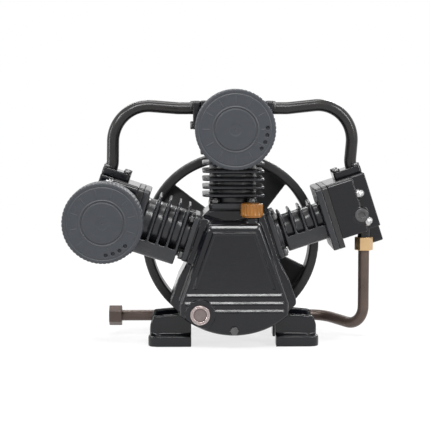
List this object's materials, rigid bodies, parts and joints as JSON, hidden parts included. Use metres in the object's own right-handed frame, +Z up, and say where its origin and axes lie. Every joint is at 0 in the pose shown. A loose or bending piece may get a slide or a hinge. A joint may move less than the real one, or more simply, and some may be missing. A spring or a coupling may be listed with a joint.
{
  "type": "air compressor pump head",
  "caption": "Air-cooled two-stage piston compressor pump with splayed finned cylinders, round suction filters, looped pipes and a grooved spoked flywheel.",
  "frame": {"origin": "centre of the four foot bolt holes on the base plane", "axes": "+X to the right when seen from the front, +Y to the rear towards the flywheel, +Z up; the crank turns about Y"},
  "size_m": [0.6212, 0.3657, 0.498],
  "materials": {
    "black_casting": "gloss black paint on a casting",
    "black_fins": "satin black paint on a casting",
    "amber_plastic": "gloss amber plastic",
    "bright_ring": "bright machined ring",
    "clear_glass": "clear",
    "dark_steel": "dark finished steel",
    "bright_steel": "bright steel",
    "seal_rubber": "matt",
    "gasket_sheet": "dull joint sheet",
    "filter_plastic": "matt blue-grey moulding",
    "filter_paper": "pleated paper",
    "pipe_paint": "dark bronze-black finish",
    "brass": "brass",
    "cast_crank": "machined iron",
    "light_alloy": "cast light alloy"
  },
  "bodies": {
    "root": {"crankcase": "black_casting", "rear_bearing_cover": "black_casting", "head_left": "black_casting", "head_centre": "black_casting", "head_right": "black_casting", "pipe_flanges": "black_casting", "discharge_elbow": "black_casting", "head_plug": "black_casting", "cylinder_left": "black_fins", "cylinder_centre": "black_fins", "cylinder_right": "black_fins", "sight_glass_ring": "bright_ring", "sight_glass_lens": "clear_glass", "drain_plug": "dark_steel", "rear_cover_bolts": "dark_steel", "cylinder_nuts": "dark_steel", "flange_bolts": "dark_steel", "head_nuts": "bright_steel", "main_bearings": "bright_steel", "valve_plates": "bright_steel", "suction_reeds": "bright_steel", "discharge_reeds": "bright_steel", "oil_seal": "seal_rubber", "rear_cover_gasket": "gasket_sheet", "cylinder_base_gaskets": "gasket_sheet", "head_gaskets": "gasket_sheet", "filter_cover_left": "filter_plastic", "filter_cover_centre": "filter_plastic", "filter_bases": "filter_plastic", "filter_elements": "filter_paper", "interstage_pipe_left": "pipe_paint", "interstage_pipe_right": "pipe_paint", "discharge_pipe": "pipe_paint", "outlet_nut": "pipe_paint", "discharge_nut": "brass"},
    "crank": {"crankshaft": "cast_crank", "flywheel": "black_casting", "flywheel_key": "dark_steel", "flywheel_washer": "dark_steel", "flywheel_bolt": "dark_steel"},
    "filler_plug": {"filler_plug": "amber_plastic"},
    "piston_left": {"piston_left": "light_alloy", "piston_rings_left": "dark_steel", "gudgeon_pin_left": "bright_steel"},
    "rod_left": {"connecting_rod_left": "light_alloy", "rod_cap_left": "light_alloy", "crank_pin_left": "bright_steel"},
    "piston_centre": {"piston_centre": "light_alloy", "piston_rings_centre": "dark_steel", "gudgeon_pin_centre": "bright_steel"},
    "rod_centre": {"connecting_rod_centre": "light_alloy", "rod_cap_centre": "light_alloy", "crank_pin_centre": "bright_steel"},
    "piston_right": {"piston_right": "light_alloy", "piston_rings_right": "dark_steel", "gudgeon_pin_right": "bright_steel"},
    "rod_right": {"connecting_rod_right": "light_alloy", "rod_cap_right": "light_alloy", "crank_pin_right": "bright_steel"}
  },
  "joints": [
    {"name": "crank_turn", "type": "hinge", "parent": "root", "child": "crank", "pos_m": [0, 0, 0.185], "axis": [0, 1, 0], "continuous": true},
    {"name": "piston_left_slide", "type": "slide", "parent": "root", "child": "piston_left", "axis": [-0.9511, 0, 0.309], "range_m": [-0.03605, 0.02395]},
    {"name": "rod_left_swing", "type": "hinge", "parent": "piston_left", "child": "rod_left", "pos_m": [-0.12749, -0.022, 0.22642], "axis": [0, 1, 0], "range_deg": [-0.68, 26.42]},
    {"name": "piston_centre_slide", "type": "slide", "parent": "root", "child": "piston_centre", "axis": [0, 0, 1], "range_m": [-0.06, 0]},
    {"name": "rod_centre_swing", "type": "hinge", "parent": "piston_centre", "child": "rod_centre", "pos_m": [0, 0, 0.343], "axis": [0, 1, 0], "range_deg": [-13.55, 13.55]},
    {"name": "piston_right_slide", "type": "slide", "parent": "root", "child": "piston_right", "axis": [0.9511, 0, 0.309], "range_m": [-0.03605, 0.02395]},
    {"name": "rod_right_swing", "type": "hinge", "parent": "piston_right", "child": "rod_right", "pos_m": [0.12749, 0.022, 0.22642], "axis": [0, 1, 0], "range_deg": [-26.42, 0.68]},
    {"name": "filler_lift", "type": "slide", "parent": "root", "child": "filler_plug", "axis": [0, 0, 1], "range_m": [0, 0.025]}
  ]
}
